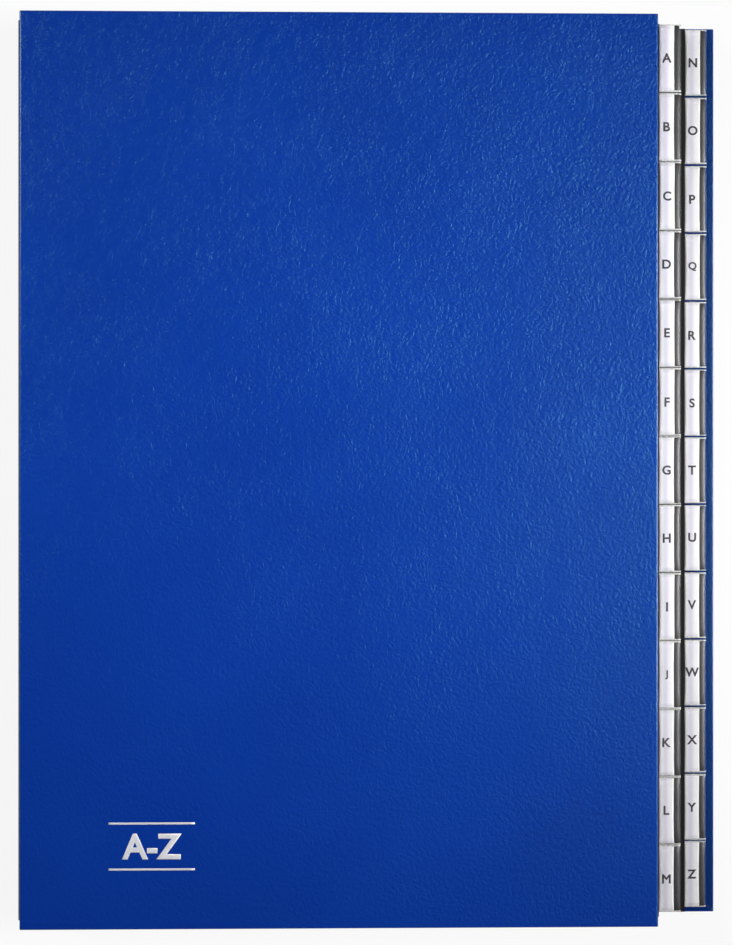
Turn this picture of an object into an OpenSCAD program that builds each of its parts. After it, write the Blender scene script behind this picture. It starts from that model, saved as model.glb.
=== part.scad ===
// Alphabetical desk sorter, lying shut on its back cover.
// Two wrapped board covers hold a stack of card leaves, one for each letter of the alphabet.
// Each leaf hangs on a fold of cloth at the spine and carries a clear index tab at the fore-edge.
// X runs from the spine to the fore-edge, Y from the tail to the head, and Z up from the table.

/* [Covers] */
// Height of both covers, from tail to head
cover_h = 320; // [220:1:420]
// Width of the front cover, from its spine edge to its fore-edge
front_cover_w = 223; // [150:1:320]
// How far the back cover reaches past the outer column of tabs
back_margin = 3.3; // [0.5:0.1:15]
// Thickness of the grey board inside a cover
board_t = 2; // [1:0.1:4]
// Thickness of the grained paper wrapped round a board
wrap_t = 0.25; // [0.1:0.05:0.6]
// Width of the wrap's edge that is turned in over the board's inner face
turn_in = 15; // [4:1:40]
// Thickness of the lining sheet inside the turned-in edges
lining_t = 0.2; // [0.1:0.05:0.6]

/* [Leaves] */
// Thickness of a card leaf
leaf_t = 0.4; // [0.2:0.05:0.8]
// How far the covers reach past the top leaf at the head and at the tail
head_margin = 3; // [2.5:0.5:15]
// How much wider each leaf is than the one on top of it
leaf_step = 0.13; // [0:0.01:0.5]
// How much taller each leaf is than the one on top of it
leaf_growth = 0.1; // [0:0.01:0.15]
// Free space between one leaf's thickest place and the next leaf
leaf_clear = 0.16; // [0.1:0.02:1]

/* [Index tabs] */
// Width of a tab, from its root at the leaf's edge to the fold of its sleeve
tab_w = 7.6; // [6.5:0.1:20]
// Space between the front cover's fore-edge and the inner column of tabs
tab_lead = 0.7; // [0.2:0.1:5]
// Space between the two columns of tabs
column_gap = 1.7; // [0.5:0.1:8]
// Space between one tab and the next in its column
row_gap = 0.4; // [0.2:0.1:4]
// Thickness of the clear film of a sleeve
film_t = 0.12; // [0.06:0.02:0.5]
// How far a sleeve reaches past the card tongue inside it, at the head and at the tail
film_end = 0.3; // [0:0.1:2]
// Width of the paper label on the tongue
label_w = 5.4; // [3:0.1:5.5]
// Thickness of the paper label
label_t = 0.1; // [0.05:0.01:0.3]
// Card left bare between the tab's root and the label
label_inset = 0.1; // [0:0.05:0.5]
// Free space between the sleeve and what it holds
sleeve_fit = 0.03; // [0.01:0.01:0.2]

/* [Spine] */
// Thickness of the cloth folded round a leaf's spine edge
guard_t = 0.1; // [0.05:0.01:0.3]
// Width of that cloth on each face of the leaf
guard_w = 12; // [5:1:40]
// Layer of glue between the cloth and the card
glue_t = 0.02; // [0.01:0.01:0.05]
// Thickness of the cloth strip that joins the spine to a cover
joint_t = 0.15; // [0.08:0.01:0.3]
// Width of that strip
joint_w = 14; // [5:1:40]
// Free space between the front cover's hinge fold and the folds of the leaves
spine_clear = 0.1; // [0.05:0.05:1]

/* [Hidden] */
$fn = 48;
letters = "abcdefghijklmnopqrstuvwxyz";
leaf_count = len(letters);
columns = 2;
rows = leaf_count / columns;

// Stack: radius of a cloth fold, pitch of the leaves, and the space between a cover and its next leaf
fold_r = leaf_t / 2 + glue_t + guard_t;
leaf_pitch = max(2 * fold_r, leaf_t + sleeve_fit + film_t) + leaf_clear;
cover_gap = fold_r + joint_t + leaf_clear;
turned_t = 2 * wrap_t + board_t;
cover_t = max(turned_t, wrap_t + board_t + lining_t);
stack_t = 2 * cover_t + 2 * cover_gap + (leaf_count - 1) * leaf_pitch;

// Widths, measured from the back cover's spine edge
cover_hinge_x = fold_r;
front_cover_x = 2 * fold_r;
leaf_hinge_x = front_cover_x + spine_clear + fold_r;
column_pitch = tab_w + column_gap;
first_column_x = front_cover_x + front_cover_w + tab_lead;
back_cover_w = tab_x(leaf_count - 1) + tab_w + back_margin;

// Heights of the top leaf and of a tab
top_leaf_h = cover_h - 2 * head_margin;
tab_h = top_leaf_h / rows - row_gap;

// Sleeve section: the space inside its fold, and the outside
slot_t = leaf_t + label_t + 2 * sleeve_fit;
sleeve_t = slot_t + 2 * film_t;

// Card tongue: it reaches to where the sleeve's fold begins
tongue_w = tab_w - sleeve_t / 2;
tongue_h = tab_h - 2 * film_end;

// A cut that has to break through a face reaches this far past it
through = 1;

wrap_blue = "#103c9c";
board_grey = "#a89f8e";
lining_black = "#25262a";
card_black = "#1b1b1e";
cloth_navy = "#141a2c";
label_white = "#f4f4f6";
film_clear = [0.86, 0.9, 0.93, 0.4];

function column_of(k) = floor(k / rows);
function row_of(k) = k % rows;

// Middle of leaf k's thickness, with the first letter next to the front cover
function leaf_z(k) = cover_t + cover_gap + (leaf_count - 1 - k) * leaf_pitch;

// Height of leaf k, from tail to head
function leaf_h(k) = top_leaf_h + k * leaf_growth;

// Root of leaf k's tab, at the leaf's own edge
function tab_x(k) = first_column_x + column_of(k) * column_pitch + k * leaf_step;

// Middle of leaf k's tab, with the rows spread over the leaf's own height
function tab_y(k) = leaf_h(k) * (0.5 - (row_of(k) + 0.5) / rows);

// Moves a piece from the spine edge to the frame, which is centred on the back cover
module from_spine() {
    translate([-back_cover_w / 2, 0, 0])
        children();
}

// Turns a cover's piece over and places it on top of the stack
module on_front() {
    from_spine()
        translate([front_cover_x, 0, stack_t])
            mirror([0, 0, 1])
                children();
}

// A flat sheet with one edge on the spine side, centred from head to tail
module sheet(x, z, w, h, t) {
    translate([x, -h / 2, z])
        cube([w, h, t]);
}

// A long round fold of cloth, lying along the spine
module fold(x, z, r, h) {
    translate([x, h / 2, z])
        rotate([90, 0, 0])
            cylinder(r = r, h = h);
}

// Extrudes a section drawn in X and Z along Y
module along_spine(h) {
    rotate([90, 0, 0])
        linear_extrude(height = h, center = true)
            children();
}

// Section of a strip folded over on itself, with its round fold at the origin
module folded_section(r, w) {
    circle(r = r);
    translate([0, -r])
        square([w, 2 * r]);
}

// Covers, drawn with the outer face down and the spine edge at X = 0

module cover_board(w) {
    sheet(wrap_t, wrap_t, w - 2 * wrap_t, cover_h - 2 * wrap_t, board_t);
}

module cover_wrap(w) {
    difference() {
        sheet(0, 0, w, cover_h, turned_t);
        cover_board(w);
        sheet(turn_in, wrap_t + board_t / 2, w - 2 * turn_in, cover_h - 2 * turn_in, board_t + through);
    }
}

module cover_lining(w) {
    sheet(turn_in, wrap_t + board_t, w - 2 * turn_in, cover_h - 2 * turn_in, lining_t);
}

module back_cover_board() {
    color(board_grey)
        from_spine()
            cover_board(back_cover_w);
}

module back_cover_wrap() {
    color(wrap_blue)
        from_spine()
            cover_wrap(back_cover_w);
}

module back_cover_lining() {
    color(lining_black)
        from_spine()
            cover_lining(back_cover_w);
}

module front_cover_board() {
    color(board_grey)
        on_front()
            cover_board(front_cover_w);
}

module front_cover_wrap() {
    color(wrap_blue)
        on_front()
            cover_wrap(front_cover_w);
}

module front_cover_lining() {
    color(lining_black)
        on_front()
            cover_lining(front_cover_w);
}

// Spine cloth: a strip glued inside each cover, with its edge rolled towards the leaves

module back_spine_cloth() {
    color(cloth_navy)
        from_spine() {
            sheet(cover_hinge_x, turned_t, joint_w, top_leaf_h, joint_t);
            fold(cover_hinge_x, turned_t + glue_t + fold_r, fold_r, top_leaf_h);
        }
}

module front_spine_cloth() {
    color(cloth_navy)
        from_spine() {
            sheet(cover_hinge_x, stack_t - turned_t - joint_t, joint_w, top_leaf_h, joint_t);
            fold(cover_hinge_x, stack_t - turned_t - joint_t / 2, fold_r, top_leaf_h);
        }
}

// Leaves: a card with one tongue at its fore-edge, and a cloth guard folded round its spine edge

module leaf_card(k) {
    translate([0, 0, leaf_z(k) - leaf_t / 2])
        linear_extrude(height = leaf_t)
            union() {
                translate([leaf_hinge_x, -leaf_h(k) / 2])
                    square([tab_x(k) - leaf_hinge_x, leaf_h(k)]);
                translate([leaf_hinge_x, tab_y(k) - tongue_h / 2])
                    square([tab_x(k) + tongue_w - leaf_hinge_x, tongue_h]);
            }
}

module leaf_guard(k) {
    translate([leaf_hinge_x, 0, leaf_z(k)])
        along_spine(leaf_h(k))
            difference() {
                folded_section(fold_r, guard_w);
                folded_section(fold_r - guard_t, guard_w + through);
            }
}

module leaf(k) {
    color(card_black)
        from_spine()
            leaf_card(k);
    color(cloth_navy)
        from_spine()
            leaf_guard(k);
}

// Index tabs: a clear sleeve folded over the tongue, with the paper label under its upper face

module tab_sleeve(k) {
    translate([tab_x(k) + tongue_w, tab_y(k), leaf_z(k) + label_t / 2])
        mirror([1, 0, 0])
            along_spine(tab_h)
                difference() {
                    folded_section(sleeve_t / 2, tongue_w);
                    folded_section(slot_t / 2, tongue_w + through);
                }
}

module tab_label(k) {
    translate([tab_x(k) + label_inset, tab_y(k) - tongue_h / 2, leaf_z(k) + leaf_t / 2])
        cube([label_w, tongue_h, label_t]);
}

module tab(k) {
    color(film_clear)
        from_spine()
            tab_sleeve(k);
    color(label_white)
        from_spine()
            tab_label(k);
}

back_cover_board();
back_cover_wrap();
back_cover_lining();
back_spine_cloth();
for (k = [0 : leaf_count - 1]) {
    leaf(k);
    tab(k);
}
front_cover_board();
front_cover_wrap();
front_cover_lining();
front_spine_cloth();
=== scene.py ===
import math
import random

import bpy
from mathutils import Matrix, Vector, noise


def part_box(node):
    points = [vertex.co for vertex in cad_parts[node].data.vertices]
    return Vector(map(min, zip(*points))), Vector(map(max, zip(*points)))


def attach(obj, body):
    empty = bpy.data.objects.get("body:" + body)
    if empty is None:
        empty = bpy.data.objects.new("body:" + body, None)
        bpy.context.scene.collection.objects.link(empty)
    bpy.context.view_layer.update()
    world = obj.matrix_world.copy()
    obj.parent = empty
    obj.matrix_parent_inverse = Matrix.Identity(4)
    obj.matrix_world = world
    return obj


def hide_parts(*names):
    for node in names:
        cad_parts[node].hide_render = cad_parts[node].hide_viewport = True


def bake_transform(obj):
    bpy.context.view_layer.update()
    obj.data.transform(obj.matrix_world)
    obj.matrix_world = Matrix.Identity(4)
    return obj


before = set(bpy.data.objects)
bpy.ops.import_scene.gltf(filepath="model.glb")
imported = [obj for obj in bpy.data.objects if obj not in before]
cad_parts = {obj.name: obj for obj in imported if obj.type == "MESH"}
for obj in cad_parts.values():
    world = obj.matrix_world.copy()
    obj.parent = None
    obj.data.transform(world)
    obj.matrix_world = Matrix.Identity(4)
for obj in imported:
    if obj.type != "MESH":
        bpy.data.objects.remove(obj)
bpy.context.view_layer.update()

# Cover boards
# Each cover is stiffened by a sheet of grey pulp board, cut square on a guillotine.
# The grained paper is glued round it, so the board itself is shut in on every side.

mm = 0.001


def srgb(red, green, blue):
    """A colour on the 0 to 255 scale, made linear by the sRGB formula, as a shader takes it."""
    channels = [value / 255 for value in (red, green, blue)]
    return [c / 12.92 if c <= 0.04045 else ((c + 0.055) / 1.055) ** 2.4 for c in channels] + [1]


def put(finish, node, socket, value):
    """Links a socket to another node's output, or sets it to a plain value."""
    if isinstance(value, bpy.types.NodeSocket):
        finish.node_tree.links.new(value, node.inputs[socket])
    else:
        node.inputs[socket].default_value = value


def add(finish, kind, values, **settings):
    """A new node in a finish, with its sockets filled in."""
    node = finish.node_tree.nodes.new(kind)
    for setting, choice in settings.items():
        setattr(node, setting, choice)
    for socket, value in values.items():
        put(finish, node, socket, value)
    return node


def new_finish(name):
    """A finish with its shader, and the place on the piece that its patterns are drawn by."""
    finish = bpy.data.materials.new(name)
    finish.use_nodes = True
    shader = finish.node_tree.nodes["Principled BSDF"]
    place = add(finish, "ShaderNodeTexCoord", {}).outputs["Object"]
    return finish, shader, place


def stretched(finish, place, x, y):
    """The same place, drawn out along an axis by a factor under 1 and squeezed by one over 1."""
    mapping = add(finish, "ShaderNodeMapping", {"Vector": place, "Scale": (x, y, 1)})
    return mapping.outputs["Vector"]


def mottle(finish, place, size, detail=2, **settings):
    """Soft noise with features about size across."""
    values = {"Vector": place, "Scale": 1 / size, "Detail": detail}
    return add(finish, "ShaderNodeTexNoise", values, **settings).outputs["Fac"]


def blended(finish, amount, first, second):
    """A colour that goes from the first to the second as amount goes from 0 to 1."""
    first_colour, second_colour, colour_out = 6, 7, 2
    values = {"Factor": amount, first_colour: first, second_colour: second}
    return add(finish, "ShaderNodeMix", values, data_type="RGBA").outputs[colour_out]


def emboss(finish, shader, *layers):
    """Raises the surface by each layer's height pattern, at that layer's depth."""
    normal = None
    for height, depth in layers:
        bump = add(finish, "ShaderNodeBump", {"Height": height, "Distance": depth})
        if normal:
            put(finish, bump, "Normal", normal)
        normal = bump.outputs["Normal"]
    put(finish, shader, "Normal", normal)


def dress(name, *finishes):
    """Gives a node these finishes in place of its plain colour."""
    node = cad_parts[name]
    node.data.materials.clear()
    for finish in finishes:
        node.data.materials.append(finish)
    return node


def pulp_board():
    """Grey recycled board, with paler and darker fibres."""
    finish, shader, place = new_finish("pulp_board")
    fibres = mottle(finish, stretched(finish, place, x=1, y=3), size=1.2 * mm, detail=4)
    put(finish, shader, "Base Color", blended(finish, fibres, srgb(122, 115, 103), srgb(186, 178, 162)))
    put(finish, shader, "Roughness", 0.9)
    emboss(finish, shader, (fibres, 0.05 * mm))
    return finish


board_finish = pulp_board()
dress("back_cover_board", board_finish)
dress("front_cover_board", board_finish)

# Cover skins
# Each board is wrapped in blue paper with a fine pressed leather grain and a hard, half-gloss coat.
# The paper is glued flat, drawn tight over the board's edges and turned in, with mitred corners.

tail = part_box("front_cover_wrap")[0].y
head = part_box("front_cover_wrap")[1].y
grain_cell = 1.8 * mm
crinkle_size = 1.1 * mm
crease_length = 12 * mm
patch_size = 30 * mm
cloud_size = 45 * mm
rim_radius = 0.5 * mm
rim_steps = 4
corner_radius = 0.4 * mm
corner_steps = 3
edge_band = 2 * mm
mesh_step = 4 * mm
turn_in_steps = 4
mitre_depth = 0.12 * mm
swell = 0.05 * mm
swell_size = 70 * mm
face_slot, turned_slot = range(2)


def warped(finish, place, size, reach):
    """The same place, pulled about by up to reach in swirls of this size."""
    values = {"Vector": place, "Scale": 1 / size}
    swirl = add(finish, "ShaderNodeTexNoise", values).outputs["Color"]
    pull = add(finish, "ShaderNodeVectorMath", {0: swirl, 1: (reach, reach, reach)}, operation="MULTIPLY")
    moved = add(finish, "ShaderNodeVectorMath", {0: place, 1: pull.outputs["Vector"]}, operation="ADD")
    return moved.outputs["Vector"]


def combined(finish, operation, first, second):
    """One number made from two, such as their product or the greater of them."""
    return add(finish, "ShaderNodeMath", {0: first, 1: second}, operation=operation).outputs["Value"]


def ramp(finish, amount, low, high, start=0.0, end=1.0):
    """A number that goes from low to high while amount goes from start to end."""
    values = {"Value": amount, "From Min": start, "From Max": end, "To Min": low, "To Max": high}
    return add(finish, "ShaderNodeMapRange", values).outputs["Result"]


def leather_paper(name, dark, light, shine):
    """Blue coated paper with a crinkled leather grain and longer creases, pressed deeper near the head."""
    finish, shader, place = new_finish(name)
    drawn = warped(finish, place, size=5 * mm, reach=3 * mm)
    cells = {"Vector": stretched(finish, drawn, x=1, y=0.7), "Scale": 1 / grain_cell}
    wall = add(finish, "ShaderNodeTexVoronoi", cells, feature="DISTANCE_TO_EDGE").outputs["Distance"]
    wrinkle = ramp(finish, wall, low=0, high=1, end=0.2)
    crinkle = mottle(finish, drawn, crinkle_size, detail=4)
    upwards = stretched(finish, drawn, x=1, y=0.4)
    crease = mottle(finish, upwards, crease_length, detail=3, noise_type="RIDGED_MULTIFRACTAL")
    cloud = ramp(finish, mottle(finish, place, cloud_size, detail=3), low=0, high=1, start=0.3, end=0.7)
    patch = ramp(finish, mottle(finish, place, patch_size), low=0.7, high=1, start=0.35, end=0.65)
    along = add(finish, "ShaderNodeSeparateXYZ", {"Vector": place}).outputs["Y"]
    deeper = ramp(finish, along, low=0.55, high=1.55, start=tail, end=head)
    pressed = combined(finish, "MULTIPLY", patch, deeper)
    put(finish, shader, "Base Color", blended(finish, cloud, dark, light))
    put(finish, shader, "Roughness", 0.36)
    put(finish, shader, "Specular IOR Level", 0.33 * shine)
    put(finish, shader, "Specular Tint", (0.32, 1, 0.9, 1))
    put(finish, shader, "Coat Weight", 0.4 * shine)
    put(finish, shader, "Coat Roughness", 0.16)
    emboss(
        finish,
        shader,
        (combined(finish, "MULTIPLY", wrinkle, pressed), 0.04 * mm),
        (combined(finish, "MULTIPLY", crinkle, pressed), 0.26 * mm),
        (crease, 0.06 * mm),
    )
    return finish


def into_scene(name, data):
    """A new object in the scene, made from this mesh, text, lamp or camera."""
    item = bpy.data.objects.new(name, data)
    bpy.context.scene.collection.objects.link(item)
    return item


def new_piece(name, points, faces, finishes, slots):
    """A smooth mesh piece with its finishes. Slots gives the finish of each face."""
    mesh = bpy.data.meshes.new(name)
    mesh.from_pydata(points, [], faces)
    for finish in finishes:
        mesh.materials.append(finish)
    mesh.polygons.foreach_set("material_index", slots)
    mesh.shade_smooth()
    return into_scene(name, mesh)


def places_along(length):
    """Places from one corner to the next: close together where the corner is round, then even."""
    near = [corner_radius * i / corner_steps for i in range(corner_steps + 1)] + [edge_band]
    between = length - 2 * edge_band
    count = round(between / mesh_step)
    middle = [edge_band + between * i / count for i in range(1, count)]
    return near + middle + [length - place for place in reversed(near)]


def skin_swell(x, y):
    """How far the glued paper stands up from the board's flat face."""
    return swell * (1 + noise.noise(Vector((x, y, 0)) / swell_size))


def skin_profile(thickness, turn_in):
    """Inset from the outer edge and depth below the face, over the rim and in to the cut edge."""
    arc = [math.pi / 2 * i / rim_steps for i in range(rim_steps + 1)]
    upper = [(rim_radius * (1 - math.sin(a)), rim_radius * (1 - math.cos(a))) for a in arc]
    lower = [(inset, thickness - depth) for inset, depth in reversed(upper)]
    turned = [(turn_in * i / turn_in_steps, thickness) for i in range(1, turn_in_steps + 1)]
    return upper + lower + turned


def once_round(last_x, last_y):
    """The places on the edge of a grid, once round from its first corner."""
    edge = [(i, 0) for i in range(last_x)]
    edge += [(last_x, j) for j in range(last_y)]
    edge += [(i, last_y) for i in range(last_x, 0, -1)]
    edge += [(0, j) for j in range(last_y, 0, -1)]
    return edge


def cover_skin(cover, face_up):
    """The paper on one cover: its face, the rounded rim and the turned-in edges, as thick as the paper."""
    low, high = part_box(f"{cover}_wrap")
    size = high - low
    turn_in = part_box(f"{cover}_lining")[0].x - low.x
    across = places_along(size.x)
    along = places_along(size.y)
    last_x = len(across) - 1
    last_y = len(along) - 1
    points = []

    def point(i, j, inset, depth):
        """Adds a point of the ring at this inset, with the ring's corners rounded."""
        x = inset + across[i] * (size.x - 2 * inset) / size.x
        y = inset + along[j] * (size.y - 2 * inset) / size.y
        away_x = max(corner_radius - x, x - size.x + corner_radius)
        away_y = max(corner_radius - y, y - size.y + corner_radius)
        if inset < corner_radius and away_x > 0 and away_y > 0:
            reach = max(away_x, away_y) / math.hypot(away_x, away_y)
            x += math.copysign(away_x * (1 - reach), size.x / 2 - x)
            y += math.copysign(away_y * (1 - reach), size.y / 2 - y)
        z = high.z - depth if face_up else low.z + depth
        points.append((low.x + x, low.y + y, z))
        return len(points) - 1

    def face_depth(i, j):
        """The face rises a little between its edges, where the paper lies on its glue."""
        if i in (0, last_x) or j in (0, last_y):
            return 0
        return -skin_swell(low.x + across[i], low.y + along[j])

    grid = []
    for i in range(last_x + 1):
        grid.append([point(i, j, rim_radius, face_depth(i, j)) for j in range(last_y + 1)])
    faces = [
        (grid[i][j], grid[i + 1][j], grid[i + 1][j + 1], grid[i][j + 1])
        for i in range(last_x)
        for j in range(last_y)
    ]
    slots = [face_slot] * len(faces)
    edge = once_round(last_x, last_y)
    ring = [grid[i][j] for i, j in edge]
    for inset, depth in skin_profile(size.z, turn_in)[1:]:
        slot = turned_slot if inset > rim_radius else face_slot
        outer = ring
        ring = []
        for i, j in edge:
            corner = i in (0, last_x) and j in (0, last_y)
            mitre = mitre_depth if corner and inset > corner_radius else 0
            ring.append(point(i, j, inset, depth - mitre))
        for k in range(len(edge)):
            faces.append((outer[k - 1], ring[k - 1], ring[k], outer[k]))
            slots.append(slot)
    if not face_up:
        faces = [face[::-1] for face in faces]
    skin = new_piece(f"{cover}_skin", points, faces, skin_finishes, slots)
    paper = skin.modifiers.new("paper", "SOLIDIFY")
    paper.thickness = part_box(f"{cover}_board")[0].x - low.x
    paper.offset = -1
    paper.use_even_offset = True
    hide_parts(f"{cover}_wrap")
    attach(skin, cover)


skin_finishes = [
    leather_paper("leather_paper", dark=srgb(3, 45, 140), light=srgb(4, 49, 146), shine=1),
    # The turned-in edges take a copy of the paper painted darker, as shade, and with less shine.
    leather_paper("shaded_turned_in_paper", dark=srgb(6, 40, 106), light=srgb(9, 44, 114), shine=0.35),
]
cover_skin("back_cover", face_up=False)
cover_skin("front_cover", face_up=True)

# Linings
# A sheet of matt black paper is pasted inside each cover, within the turned-in edges of the skin.
# It hides the board, and its slight tooth shows as a fine, even mottle.


def lining_paper():
    """Matt black paper with a fine felt mark."""
    finish, shader, place = new_finish("lining_paper")
    felt = mottle(finish, place, size=0.5 * mm, detail=3)
    put(finish, shader, "Base Color", blended(finish, felt, srgb(28, 29, 33), srgb(46, 47, 52)))
    put(finish, shader, "Roughness", ramp(finish, felt, low=0.75, high=0.9))
    emboss(finish, shader, (felt, 0.03 * mm))
    return finish


lining_finish = lining_paper()
dress("back_cover_lining", lining_finish)
dress("front_cover_lining", lining_finish)

# Spine cloth
# A strip of navy book cloth is glued inside each cover, and its edge is rolled towards the leaves.
# The cloth is a plain weave, sized with starch, so it is stiff and hardly frays.

thread_pitch = 0.45 * mm
# A wave texture runs through this many radians for each unit of length, at a scale of 1
wave_rate = 20


def book_cloth():
    """Navy plain weave: two sets of threads that cross, with slubs."""
    finish, shader, place = new_finish("book_cloth")
    scale = 2 * math.pi / (wave_rate * thread_pitch)
    threads = []
    for axis in ("X", "Y"):
        values = {"Vector": place, "Scale": scale, "Distortion": 0.4}
        wave = add(finish, "ShaderNodeTexWave", values, bands_direction=axis)
        threads.append(wave.outputs["Fac"])
    weave = combined(finish, "MAXIMUM", *threads)
    slub = mottle(finish, stretched(finish, place, x=1, y=0.2), size=1.5 * mm, detail=3)
    tone = combined(finish, "MULTIPLY", weave, slub)
    put(finish, shader, "Base Color", blended(finish, tone, srgb(10, 14, 28), srgb(32, 42, 72)))
    put(finish, shader, "Roughness", 0.85)
    put(finish, shader, "Sheen Weight", 0.15)
    emboss(finish, shader, (weave, 0.06 * mm))
    return finish


cloth_finish = book_cloth()
dress("back_spine_cloth", cloth_finish)
dress("front_spine_cloth", cloth_finish)

# Leaves
# Twenty-six sheets of black card, one for each letter, die-cut with a single tongue at the fore-edge.
# A guard of the same book cloth is folded round each leaf's spine edge and glued on both faces.

letters = "abcdefghijklmnopqrstuvwxyz"
card_half = 0.2 * mm
glue_layer = 0.01 * mm
edge_slope = 0.5
guard_slot, cut_slot = 1, 2


def black_card():
    """Black card, calendered smooth, with stray pale fibres."""
    finish, shader, place = new_finish("black_card")
    fibres = mottle(finish, stretched(finish, place, x=1, y=0.35), size=0.9 * mm, detail=5)
    strays = mottle(finish, stretched(finish, place, x=0.4, y=1), size=0.35 * mm)
    flecks = ramp(finish, strays, low=0, high=1, start=0.68, end=0.74)
    tone = blended(finish, fibres, srgb(12, 12, 13), srgb(26, 26, 28))
    put(finish, shader, "Base Color", blended(finish, flecks, tone, srgb(54, 54, 58)))
    put(finish, shader, "Roughness", ramp(finish, fibres, low=0.65, high=0.8))
    put(finish, shader, "Specular IOR Level", 0.2)
    emboss(finish, shader, (fibres, 0.02 * mm))
    return finish


def cut_card():
    """The card's cut edge, where its grey fibres show."""
    finish, shader, place = new_finish("cut_card")
    fibres = mottle(finish, place, size=0.4 * mm, detail=4)
    put(finish, shader, "Base Color", blended(finish, fibres, srgb(38, 38, 41), srgb(84, 84, 88)))
    put(finish, shader, "Roughness", 0.9)
    return finish


leaf_finishes = [black_card(), cloth_finish, cut_card()]
for letter in letters:
    leaf = dress(f"leaf_{letter}", *leaf_finishes)
    low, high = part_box(f"leaf_{letter}")
    middle = (low.z + high.z) / 2
    for face in leaf.data.polygons:
        heights = [leaf.data.vertices[corner].co.z for corner in face.vertices]
        if any(abs(height - middle) > card_half + glue_layer for height in heights):
            face.material_index = guard_slot
        elif abs(face.normal.z) < edge_slope:
            face.material_index = cut_slot

# Spine gussets
# Narrow pleats of book cloth bridge from the fold of each leaf to the next, and to both covers.
# They are glued along the folds.

gusset_t = 0.05 * mm
gusset_rows = 27
pleat_depth = 0.1 * mm
pleat_steps = 8
fold_r = (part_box("leaf_a")[1].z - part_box("leaf_a")[0].z) / 2
back_low, back_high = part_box("back_spine_cloth")
front_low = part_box("front_spine_cloth")[0]


def add_sheet(points, faces, slots, upper, lower, slot_of):
    """Adds a closed sheet between two grids of points. Slot_of gives the finish of each square."""
    start = len(points)
    rows = len(upper)
    columns = len(upper[0])
    for side in (upper, lower):
        for row in side:
            points.extend(row)

    def index(side, i, j):
        """The number of the point at this row and column, on the upper side, 0, or the lower one, 1."""
        return start + (side * rows + i) * columns + j

    def add_face(slot, *corners):
        """Adds one face in this finish."""
        faces.append(corners)
        slots.append(slot)

    for i in range(rows - 1):
        for j in range(columns - 1):
            square = ((i, j), (i + 1, j), (i + 1, j + 1), (i, j + 1))
            add_face(slot_of(i, j), *[index(0, a, b) for a, b in square])
            add_face(slot_of(i, j), *[index(1, a, b) for a, b in reversed(square)])
    for i in range(rows - 1):
        for j, order in ((0, 1), (columns - 1, -1)):
            rim = (index(0, i + 1, j), index(0, i, j), index(1, i, j), index(1, i + 1, j))
            add_face(slot_of(i, min(j, columns - 2)), *rim[::order])
    for j in range(columns - 1):
        for i, order in ((0, 1), (rows - 1, -1)):
            rim = (index(0, i, j), index(0, i, j + 1), index(1, i, j + 1), index(1, i, j))
            add_face(slot_of(min(i, rows - 2), j), *rim[::order])


def leaf_crest(letter):
    """The outermost line of a leaf's fold at the spine: its place across and its height."""
    low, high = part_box(f"leaf_{letter}")
    return Vector((low.x, 0, (low.z + high.z) / 2))


def spine_gusset(name, lower_crest, upper_crest):
    """A pleat of cloth from one crest to the next one up, as long as the cloth inside the back cover."""
    outer = []
    for i in range(gusset_rows):
        y = back_low.y + (back_high.y - back_low.y) * i / (gusset_rows - 1)
        outer.append([])
        for j in range(pleat_steps + 1):
            share = j / pleat_steps
            middle = lower_crest.lerp(upper_crest, share)
            pleat = pleat_depth * math.sin(math.pi * share) ** 2
            outer[-1].append((middle.x - gusset_t + pleat, y, middle.z))
    inner = [[(x + gusset_t, y, z) for x, y, z in row] for row in outer]
    points, faces, slots = [], [], []
    add_sheet(points, faces, slots, outer, inner, lambda i, j: 0)
    return new_piece(name, points, faces, [cloth_finish], slots)


back_crest = Vector((back_low.x, 0, back_high.z - fold_r))
front_crest = Vector((front_low.x, 0, front_low.z + fold_r))
crests = [back_crest] + [leaf_crest(letter) for letter in reversed(letters)] + [front_crest]
for k in range(len(crests) - 1):
    gusset = spine_gusset(f"spine_gusset_{k + 1}", crests[k], crests[k + 1])
    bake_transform(gusset)

# Index tabs
# Each tongue carries a clear film sleeve, folded over its edge and sealed at both ends with heat.
# A strip of white paper, printed with its letter, slides in under the sleeve's upper face and bows it out.

film_t = 0.12 * mm
film_end = 0.3 * mm
seal_w = 0.45 * mm
seal_spread = (0.6, 1.2)
puff = 0.45 * mm
puff_spread = (0.8, 1.15)
puff_power = 8
puff_rise = 2.3 * mm
fold_reach = 2 * mm
fold_out = 0.3 * mm
fold_steps = 8
flat_steps = 4
tab_rows = 14
# How much longer or shorter than its place a sleeve can be at each end, in the inner and outer column
end_play = (0.17 * mm, -0.2 * mm)
label_w = 5.4 * mm
label_t = 0.1 * mm
label_inset = 0.1 * mm
label_bow = 0.2 * mm
bow_power = 6
label_waist = 0.12 * mm
label_columns = 8
label_drift = (0.1 * mm, 0.2 * mm)
# Where across the label the painted violet shade is strongest, and how fast it fades on either side
painted_shade_centre = -0.15
painted_shade_slope = 2
letter_h = 3.3 * mm
stroke_gain = 0.03
ink_t = 0.02 * mm
film_slot, seal_slot, paper_slot, ink_slot = range(4)
shake = random.Random(26)


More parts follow.
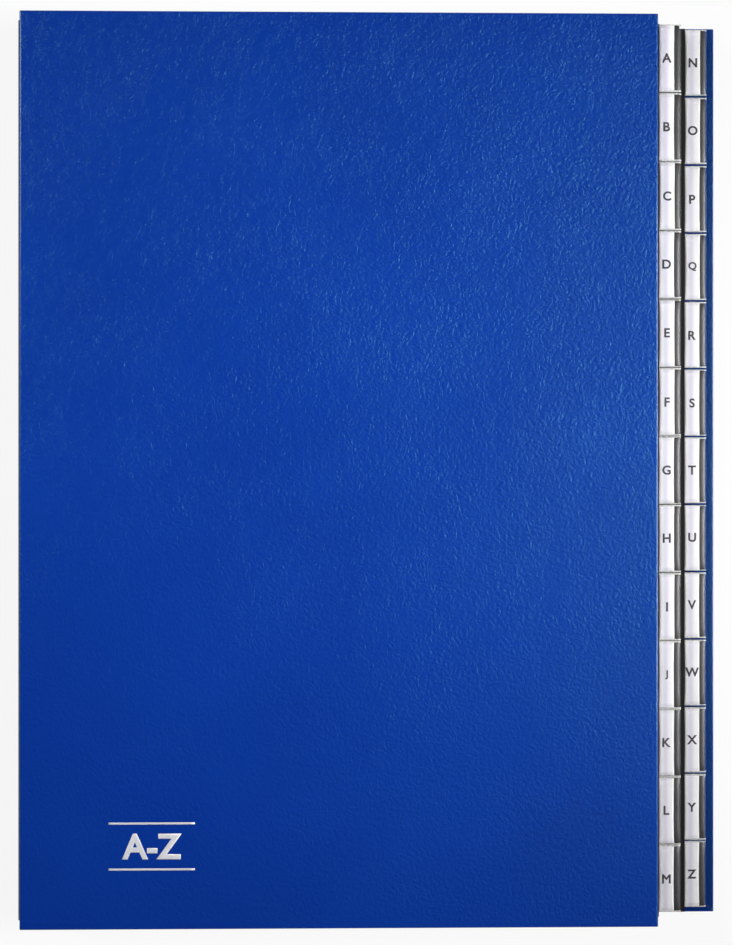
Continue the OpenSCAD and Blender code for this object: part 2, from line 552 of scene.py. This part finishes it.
def clear_film():
    """Clear glossy film: what lies behind it shows, and its faintly scuffed surface mirrors the light."""
    finish, shader, place = new_finish("clear_film")
    scuffs = mottle(finish, stretched(finish, place, x=1, y=0.15), size=0.8 * mm, detail=4)
    gloss = add(finish, "ShaderNodeBsdfGlossy", {"Roughness": ramp(finish, scuffs, low=0.3, high=0.46)})
    clear = add(finish, "ShaderNodeBsdfTransparent", {})
    slant = add(finish, "ShaderNodeLayerWeight", {"Blend": 0.5}).outputs["Facing"]
    mirrored = ramp(finish, combined(finish, "POWER", slant, 5.0), low=0.025, high=0.5)
    layers = {0: mirrored, 1: clear.outputs["BSDF"], 2: gloss.outputs["BSDF"]}
    film = add(finish, "ShaderNodeMixShader", layers)
    put(finish, shader, "Base Color", srgb(235, 238, 244))
    layers = {0: 0.01, 1: film.outputs["Shader"], 2: shader.outputs["BSDF"]}
    haze = add(finish, "ShaderNodeMixShader", layers)
    put(finish, finish.node_tree.nodes["Material Output"], "Surface", haze.outputs["Shader"])
    return finish


def sealed_film():
    """The film's ends, drawn milky white and partly opaque."""
    finish, shader, place = new_finish("sealed_film")
    bubbles = mottle(finish, place, size=0.4 * mm, detail=3)
    put(finish, shader, "Base Color", blended(finish, bubbles, srgb(236, 236, 232), srgb(252, 252, 252)))
    put(finish, shader, "Roughness", 0.3)
    put(finish, shader, "Alpha", ramp(finish, bubbles, low=0.25, high=0.9, start=0.35, end=0.65))
    emboss(finish, shader, (bubbles, 0.05 * mm))
    return finish


def label_paper():
    """Bright white paper, with painted violet-grey shade along its middle, where the film over it mirrors
    less light than at its sides.
    """
    finish, shader, place = new_finish("label_paper")
    fibres = mottle(finish, place, size=0.3 * mm, detail=3)
    across = add(finish, "ShaderNodeAttribute", {}, attribute_name="across").outputs["Fac"]
    white = blended(finish, fibres, srgb(249, 248, 251), srgb(255, 255, 255))
    # The violet-grey colour along the label's middle is painted shade, laid on by the across attribute.
    put(finish, shader, "Base Color", blended(finish, across, white, srgb(226, 220, 240)))
    put(finish, shader, "Roughness", 0.7)
    emboss(finish, shader, (fibres, 0.01 * mm))
    return finish


def label_ink():
    """Dark grey printing ink, a little uneven."""
    finish, shader, place = new_finish("label_ink")
    wear = mottle(finish, place, size=0.25 * mm, detail=3)
    put(finish, shader, "Base Color", blended(finish, wear, srgb(26, 24, 32), srgb(52, 49, 60)))
    put(finish, shader, "Roughness", 0.6)
    return finish


def lettering(text, cap_height, thickness):
    """Points and faces of printed capitals, centred, with slightly thickened strokes."""
    curve = bpy.data.curves.new("lettering", "FONT")
    curve.body = text
    curve.extrude = stroke_gain
    curve.bevel_depth = stroke_gain
    curve.bevel_resolution = 0
    pattern = into_scene("lettering", curve)
    bpy.context.view_layer.update()
    mesh = bpy.data.meshes.new_from_object(pattern.evaluated_get(bpy.context.evaluated_depsgraph_get()))
    bpy.data.objects.remove(pattern)
    bpy.data.curves.remove(curve)
    corners = [vertex.co.copy() for vertex in mesh.vertices]
    faces = [tuple(face.vertices) for face in mesh.polygons]
    bpy.data.meshes.remove(mesh)
    low = Vector(map(min, *corners))
    high = Vector(map(max, *corners))
    centre = (low + high) / 2
    scale = cap_height / (high.y - low.y)
    flatten = thickness / (high.z - low.z)
    shifts = [corner - centre for corner in corners]
    points = [(shift.x * scale, shift.y * scale, shift.z * flatten) for shift in shifts]
    return points, faces


def sleeve_section(width, half, lift):
    """Points across the sleeve: up over the label, round the fold at the fore-edge and back underneath."""
    fold_start = width - fold_reach
    flat_w = fold_start - puff_rise
    bend = [math.pi / 2 * i / fold_steps for i in range(fold_steps + 1)]
    rise = [(puff_rise * a * 2 / math.pi, half + lift * math.sin(a)) for a in bend[:-1]]
    level = [(puff_rise + flat_w * i / flat_steps, half + lift) for i in range(flat_steps)]
    fold = [(fold_start + fold_reach * math.sin(a), (half + lift) * math.cos(a)) for a in bend]
    under = [(width - half + half * math.cos(a), -half * math.sin(a)) for a in bend[1:]]
    back = [((width - half) * i / flat_steps, -half) for i in reversed(range(flat_steps))]
    return rise + level + fold + under + back


def inside(section):
    """The same section, moved in by the film's thickness."""
    moved = []
    for i in range(len(section)):
        start = Vector(section[max(i - 1, 0)])
        end = Vector(section[min(i + 1, len(section) - 1)])
        along = (end - start).normalized()
        moved.append((section[i][0] + along.y * film_t, section[i][1] - along.x * film_t))
    return moved


def film_sleeve(low, high, seal, lift, reach):
    """The sleeve's outer and inner faces, in rows from the tail to the head, with narrow ones to seal."""
    size = high - low
    middle = (low + high) / 2
    open_rows = [-1 + 2 * i / tab_rows for i in range(1, tab_rows)]
    rows = [-1, -1 + seal / reach] + open_rows + [1 - seal / reach, 1]
    outer, inner = [], []
    for row in rows:
        y = middle.y + row * reach
        section = sleeve_section(size.x + fold_out, size.z / 2, lift * (1 - row ** puff_power))
        outer.append([(low.x + x, y, middle.z + z) for x, z in section])
        inner.append([(low.x + x, y, middle.z + z) for x, z in inside(section)])
    return outer, inner


def index_tab(letter):
    """One tab: the sleeve with its sealed ends, the paper label and the printed letter."""
    low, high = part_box(f"tab_{letter}")
    size = high - low
    middle = (low + high) / 2
    seal = seal_w * shake.uniform(*seal_spread)
    lift = puff * shake.uniform(*puff_spread)
    drift = Vector([shake.uniform(-most, most) for most in label_drift])
    column = letters.index(letter) * len(end_play) // len(letters)
    reach = size.y / 2 + end_play[column] * shake.random()

    points, faces, slots = [], [], []
    outer, inner = film_sleeve(low, high, seal, lift, reach)
    ends = (0, len(outer) - 2)
    add_sheet(points, faces, slots, outer, inner, lambda i, j: seal_slot if i in ends else film_slot)

    tongue_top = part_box(f"leaf_{letter}")[0].z + fold_r + card_half
    label_reach = size.y / 2 - film_end
    label_x = label_inset + label_w / 2 + drift.x

    def label_share(x):
        """How far across the label a place is, from -1 at the leaf's side to 1."""
        return (x - label_x) / (label_w / 2)

    def label_height(x, y):
        """The label's upper face: bowed across its width."""
        bow = label_bow * (1 - label_share(x) ** 2) * (1 - abs(y / label_reach) ** bow_power)
        return tongue_top + label_t + bow

    upper = []
    for i in range(tab_rows + 1):
        y = label_reach * (-1 + 2 * i / tab_rows)
        half_w = label_w / 2 - label_waist * (1 - (y / label_reach) ** 2)
        upper.append([])
        for j in range(label_columns + 1):
            x = label_x + half_w * (-1 + 2 * j / label_columns)
            upper[-1].append((low.x + x, middle.y + y, label_height(x, y)))
    under = [[(x, y, z - label_t) for x, y, z in row] for row in upper]
    add_sheet(points, faces, slots, upper, under, lambda i, j: paper_slot)

    start = len(points)
    strokes, stroke_faces = lettering(letter.upper(), letter_h, ink_t)
    for x, y, z in strokes:
        on_label = label_height(label_x, y + drift.y) + ink_t
        points.append((low.x + label_x + x, middle.y + y + drift.y, on_label + z))
    faces.extend(tuple(start + corner for corner in face) for face in stroke_faces)
    slots.extend([ink_slot] * len(stroke_faces))

    tab = new_piece(f"index_tab_{letter}", points, faces, tab_finishes, slots)
    # Each point's across value sets how much painted violet shade the label takes, most a little left of
    # its middle.
    painted_shade = tab.data.attributes.new("across", "FLOAT", "POINT")
    for number, place in enumerate(points):
        away = abs(label_share(place[0] - low.x) - painted_shade_centre)
        painted_shade.data[number].value = max(1 - painted_shade_slope * away, 0)
    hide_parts(f"tab_{letter}")
    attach(tab, f"leaf_{letter}")


tab_finishes = [clear_film(), sealed_film(), label_paper(), label_ink()]
for letter in letters:
    index_tab(letter)

# Foil stamping
# The letters of the range and two rules are stamped in silver foil at the foot of the front cover.
# The foil is pressed into the grain with a heated die, so it is thin and a little broken up.

foil_t = 0.02 * mm
foil_cap = 9 * mm
foil_centre = Vector((46, 29)) * mm
rule_w = 30 * mm
rule_t = 0.7 * mm
rule_gap = 3.5 * mm
rule_steps = 16


def silver_foil():
    """Silver stamping foil, satin rather than mirror-bright where the grain breaks it up."""
    finish, shader, place = new_finish("silver_foil")
    grain = mottle(finish, place, size=0.5 * mm, detail=4)
    put(finish, shader, "Base Color", blended(finish, grain, srgb(214, 217, 224), srgb(246, 247, 250)))
    put(finish, shader, "Metallic", 0.35)
    put(finish, shader, "Roughness", ramp(finish, grain, low=0.35, high=0.6))
    emboss(finish, shader, (grain, 0.03 * mm))
    return finish


def foil_stamp():
    """The stamped letters with a rule above and below, lying on the skin's face."""
    low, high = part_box("front_cover_wrap")
    points, faces = lettering("A-Z", foil_cap, foil_t)
    slots = [0] * len(faces)
    for side in (-1, 1):
        y = side * (foil_cap / 2 + rule_gap)
        upper = []
        for i in range(rule_steps + 1):
            x = rule_w * (i / rule_steps - 0.5)
            upper.append([(x, y - rule_t / 2, foil_t / 2), (x, y + rule_t / 2, foil_t / 2)])
        lower = [[(x, y, -z) for x, y, z in row] for row in upper]
        add_sheet(points, faces, slots, upper, lower, lambda i, j: 0)
    placed = []
    for x, y, z in points:
        x += low.x + foil_centre.x
        y += low.y + foil_centre.y
        placed.append((x, y, high.z + skin_swell(x, y) + foil_t + z))
    foil = new_piece("foil_stamp", placed, faces, [silver_foil()], slots)
    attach(foil, "front_cover")


foil_stamp()

# Floor
# A wide pale table top lies just under the part, as a stage that isn't a piece of it.
# It shows as plain white, and keeps some of the part's shadow.

floor_reach = 40
floor_drop = 0.1 * mm
shadow_share = 0.12
shadow_reach = (0.4, 1.5)


def white_table():
    """Pale where it lights the part, and white to the eye with a soft shadow."""
    finish, shader, place = new_finish("white_table")
    put(finish, shader, "Base Color", srgb(240, 240, 240))
    put(finish, shader, "Roughness", 0.9)
    rays = add(finish, "ShaderNodeLightPath", {}).outputs
    seen = rays["Is Camera Ray"]
    for ray in ("Is Glossy Ray", "Is Transmission Ray"):
        seen = combined(finish, "MAXIMUM", seen, rays[ray])
    away = add(finish, "ShaderNodeVectorMath", {0: place}, operation="LENGTH").outputs["Value"]
    plain = combined(finish, "MULTIPLY", seen, ramp(finish, away, 1 - shadow_share, 1, *shadow_reach))
    glow = add(finish, "ShaderNodeEmission", {"Strength": 1})
    layers = {0: plain, 1: shader.outputs["BSDF"], 2: glow.outputs["Emission"]}
    mix = add(finish, "ShaderNodeMixShader", layers)
    put(finish, finish.node_tree.nodes["Material Output"], "Surface", mix.outputs["Shader"])
    return finish


floor_corners = []
for x, y in ((-1, -1), (1, -1), (1, 1), (-1, 1)):
    floor_corners.append((x * floor_reach, y * floor_reach, -floor_drop))
floor = new_piece("table_top", floor_corners, [(0, 1, 2, 3)], [white_table()], [0])

# Light
# A bright surround with a dark patch overhead, as over a copy stand, and a soft lamp on each side.
# Both beams are narrow, and the right lamp stands nearer, so the coat of the cover shines on that side.

horizon_light = 1.0
overhead_light = 0.03
# Heights, on a scale where straight up is 1, from which and up to which the surround grows dark
darkening = (0.12, 0.5)
lamp_spread = math.radians(42)
lamps = {
    "key_lamp": {"watts": 0.78, "size": 0.36, "place": (0.56, 0.02, 0.64), "aim": (-0.05, 0.02, 0)},
    "fill_lamp": {"watts": 0.55, "size": 0.5, "place": (-1, 0.4, 0.9), "aim": (0.08, 0.03, 0)},
}


def surround():
    """The world: bright at the horizon, and dark above the part."""
    world = bpy.data.worlds.new("surround")
    world.use_nodes = True
    sky = world.node_tree.nodes["Background"]
    way = add(world, "ShaderNodeTexCoord", {}).outputs["Generated"]
    height = add(world, "ShaderNodeSeparateXYZ", {"Vector": way}).outputs["Z"]
    put(world, sky, "Color", (1, 1, 1, 1))
    put(world, sky, "Strength", ramp(world, height, horizon_light, overhead_light, *darkening))
    return world


bpy.context.scene.world = surround()
for name, lamp in lamps.items():
    light = bpy.data.lights.new(name, "AREA")
    light.energy = lamp["watts"]
    light.size = lamp["size"]
    light.spread = lamp_spread
    fitting = into_scene(name, light)
    fitting.location = lamp["place"]
    beam = Vector(lamp["aim"]) - fitting.location
    fitting.rotation_euler = beam.to_track_quat("-Z", "Y").to_euler()

# Camera
# It looks down from a little over twice the cover's height, turned slightly towards the tabs.
# Its lens is a long one, so the edges of the stack draw in only a little.

camera_place = Vector((-17.9, -0.8, 716)) * mm
camera_turn = math.radians(1.28)
lens = 75.3

camera_data = bpy.data.cameras.new("camera")
camera_data.lens = lens
camera = into_scene("camera", camera_data)
camera.location = camera_place
camera.rotation_euler = (0, -camera_turn, 0)
bpy.context.scene.camera = camera
bpy.context.scene.view_settings.view_transform = "Standard"
